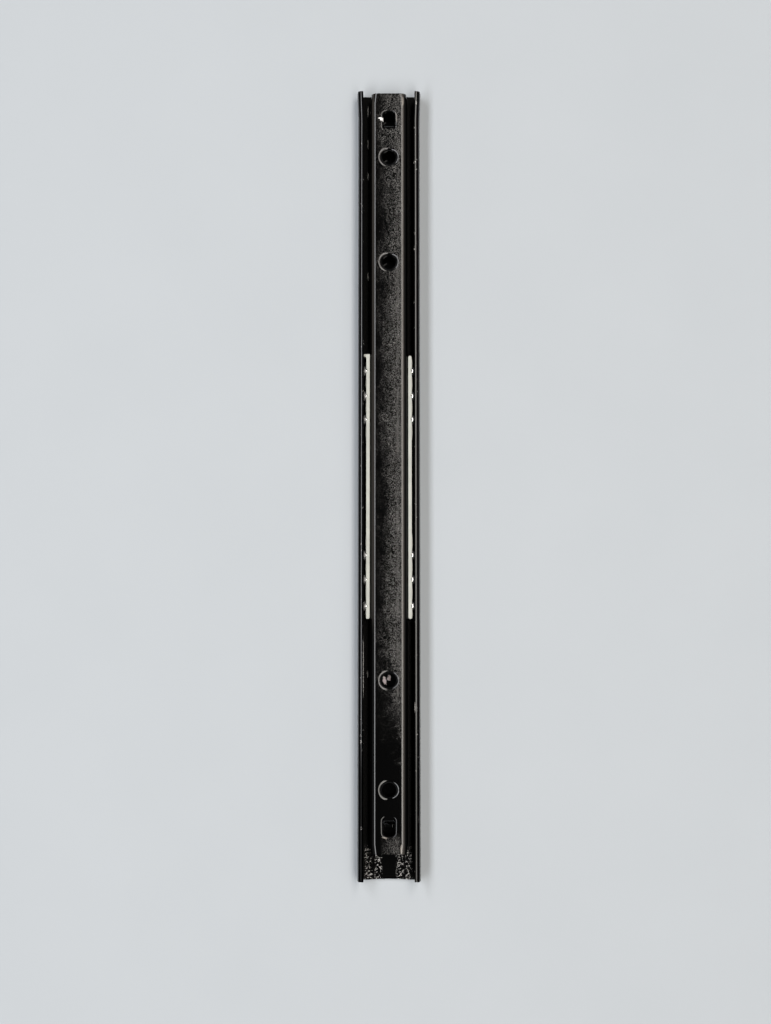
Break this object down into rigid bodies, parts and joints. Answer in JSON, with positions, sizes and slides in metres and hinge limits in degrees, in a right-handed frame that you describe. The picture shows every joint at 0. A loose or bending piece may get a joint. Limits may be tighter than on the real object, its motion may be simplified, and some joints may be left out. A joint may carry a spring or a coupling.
{
  "type": "drawer slide",
  "caption": "Slim two-member ball-bearing drawer slide: a channel fixed to the cabinet, an inner rail fixed to the drawer, and caged steel balls between them.",
  "frame": {"origin": "centre of the outer member's mounting face, halfway along its length", "axes": "+Y the way the drawer opens, +Z out of the mounting face towards the drawer, +X across the slide, to the right when looking along +Y from above"},
  "size_m": [0.0278, 0.342, 0.0098],
  "materials": {
    "outer_steel": "black electrocoat over zinc-plated steel, semi-gloss, lightly worn",
    "inner_steel": "black electrocoat, semi-gloss with a fine wrinkle, worn along the edges",
    "cage_nylon": "off-white nylon, satin",
    "ball_steel": "polished bearing steel with a film of grease"
  },
  "bodies": {
    "outer": {"outer_member": "outer_steel"},
    "inner": {"inner_member": "inner_steel"},
    "cage_left": {"cage_left": "cage_nylon"},
    "cage_right": {"cage_right": "cage_nylon"},
    "ball_left_1_body": {"ball_left_1": "ball_steel"},
    "ball_left_2_body": {"ball_left_2": "ball_steel"},
    "ball_left_3_body": {"ball_left_3": "ball_steel"},
    "ball_left_4_body": {"ball_left_4": "ball_steel"},
    "ball_left_5_body": {"ball_left_5": "ball_steel"},
    "ball_left_6_body": {"ball_left_6": "ball_steel"},
    "ball_right_1_body": {"ball_right_1": "ball_steel"},
    "ball_right_2_body": {"ball_right_2": "ball_steel"},
    "ball_right_3_body": {"ball_right_3": "ball_steel"},
    "ball_right_4_body": {"ball_right_4": "ball_steel"},
    "ball_right_5_body": {"ball_right_5": "ball_steel"},
    "ball_right_6_body": {"ball_right_6": "ball_steel"}
  },
  "joints": [
    {"name": "inner_slide", "type": "slide", "parent": "outer", "child": "inner", "axis": [0, 1, 0], "range_m": [0, 0.19]},
    {"name": "cage_left_travel", "type": "slide", "parent": "outer", "child": "cage_left", "axis": [0, 1, 0], "range_m": [-0.001, 0.096]},
    {"name": "cage_right_travel", "type": "slide", "parent": "outer", "child": "cage_right", "axis": [0, 1, 0], "range_m": [-0.001, 0.096]},
    {"name": "ball_left_1_roll", "type": "hinge", "parent": "cage_left", "child": "ball_left_1_body", "pos_m": [-0.01, 0.0477, 0.0049], "axis": [0, 0, 1], "range_deg": [-10, 2430]},
    {"name": "ball_left_2_roll", "type": "hinge", "parent": "cage_left", "child": "ball_left_2_body", "pos_m": [-0.01, 0.0368, 0.0049], "axis": [0, 0, 1], "range_deg": [-10, 2430]},
    {"name": "ball_left_3_roll", "type": "hinge", "parent": "cage_left", "child": "ball_left_3_body", "pos_m": [-0.01, 0.0265, 0.0049], "axis": [0, 0, 1], "range_deg": [-10, 2430]},
    {"name": "ball_left_4_roll", "type": "hinge", "parent": "cage_left", "child": "ball_left_4_body", "pos_m": [-0.01, -0.0324, 0.0049], "axis": [0, 0, 1], "range_deg": [-10, 2430]},
    {"name": "ball_left_5_roll", "type": "hinge", "parent": "cage_left", "child": "ball_left_5_body", "pos_m": [-0.01, -0.0429, 0.0049], "axis": [0, 0, 1], "range_deg": [-10, 2430]},
    {"name": "ball_left_6_roll", "type": "hinge", "parent": "cage_left", "child": "ball_left_6_body", "pos_m": [-0.01, -0.0543, 0.0049], "axis": [0, 0, 1], "range_deg": [-10, 2430]},
    {"name": "ball_right_1_roll", "type": "hinge", "parent": "cage_right", "child": "ball_right_1_body", "pos_m": [0.01, 0.0477, 0.0049], "axis": [0, 0, 1], "range_deg": [-2430, 10]},
    {"name": "ball_right_2_roll", "type": "hinge", "parent": "cage_right", "child": "ball_right_2_body", "pos_m": [0.01, 0.0368, 0.0049], "axis": [0, 0, 1], "range_deg": [-2430, 10]},
    {"name": "ball_right_3_roll", "type": "hinge", "parent": "cage_right", "child": "ball_right_3_body", "pos_m": [0.01, 0.0265, 0.0049], "axis": [0, 0, 1], "range_deg": [-2430, 10]},
    {"name": "ball_right_4_roll", "type": "hinge", "parent": "cage_right", "child": "ball_right_4_body", "pos_m": [0.01, -0.0324, 0.0049], "axis": [0, 0, 1], "range_deg": [-2430, 10]},
    {"name": "ball_right_5_roll", "type": "hinge", "parent": "cage_right", "child": "ball_right_5_body", "pos_m": [0.01, -0.0429, 0.0049], "axis": [0, 0, 1], "range_deg": [-2430, 10]},
    {"name": "ball_right_6_roll", "type": "hinge", "parent": "cage_right", "child": "ball_right_6_body", "pos_m": [0.01, -0.0543, 0.0049], "axis": [0, 0, 1], "range_deg": [-2430, 10]}
  ],
  "couplings": [
    {"joint": "cage_left_travel", "follows": "inner_slide", "ratio": 0.5},
    {"joint": "cage_right_travel", "follows": "inner_slide", "ratio": 0.5},
    {"joint": "ball_left_1_roll", "follows": "inner_slide", "rad_per_m": 222.22},
    {"joint": "ball_left_2_roll", "follows": "inner_slide", "rad_per_m": 222.22},
    {"joint": "ball_left_3_roll", "follows": "inner_slide", "rad_per_m": 222.22},
    {"joint": "ball_left_4_roll", "follows": "inner_slide", "rad_per_m": 222.22},
    {"joint": "ball_left_5_roll", "follows": "inner_slide", "rad_per_m": 222.22},
    {"joint": "ball_left_6_roll", "follows": "inner_slide", "rad_per_m": 222.22},
    {"joint": "ball_right_1_roll", "follows": "inner_slide", "rad_per_m": -222.22},
    {"joint": "ball_right_2_roll", "follows": "inner_slide", "rad_per_m": -222.22},
    {"joint": "ball_right_3_roll", "follows": "inner_slide", "rad_per_m": -222.22},
    {"joint": "ball_right_4_roll", "follows": "inner_slide", "rad_per_m": -222.22},
    {"joint": "ball_right_5_roll", "follows": "inner_slide", "rad_per_m": -222.22},
    {"joint": "ball_right_6_roll", "follows": "inner_slide", "rad_per_m": -222.22}
  ]
}
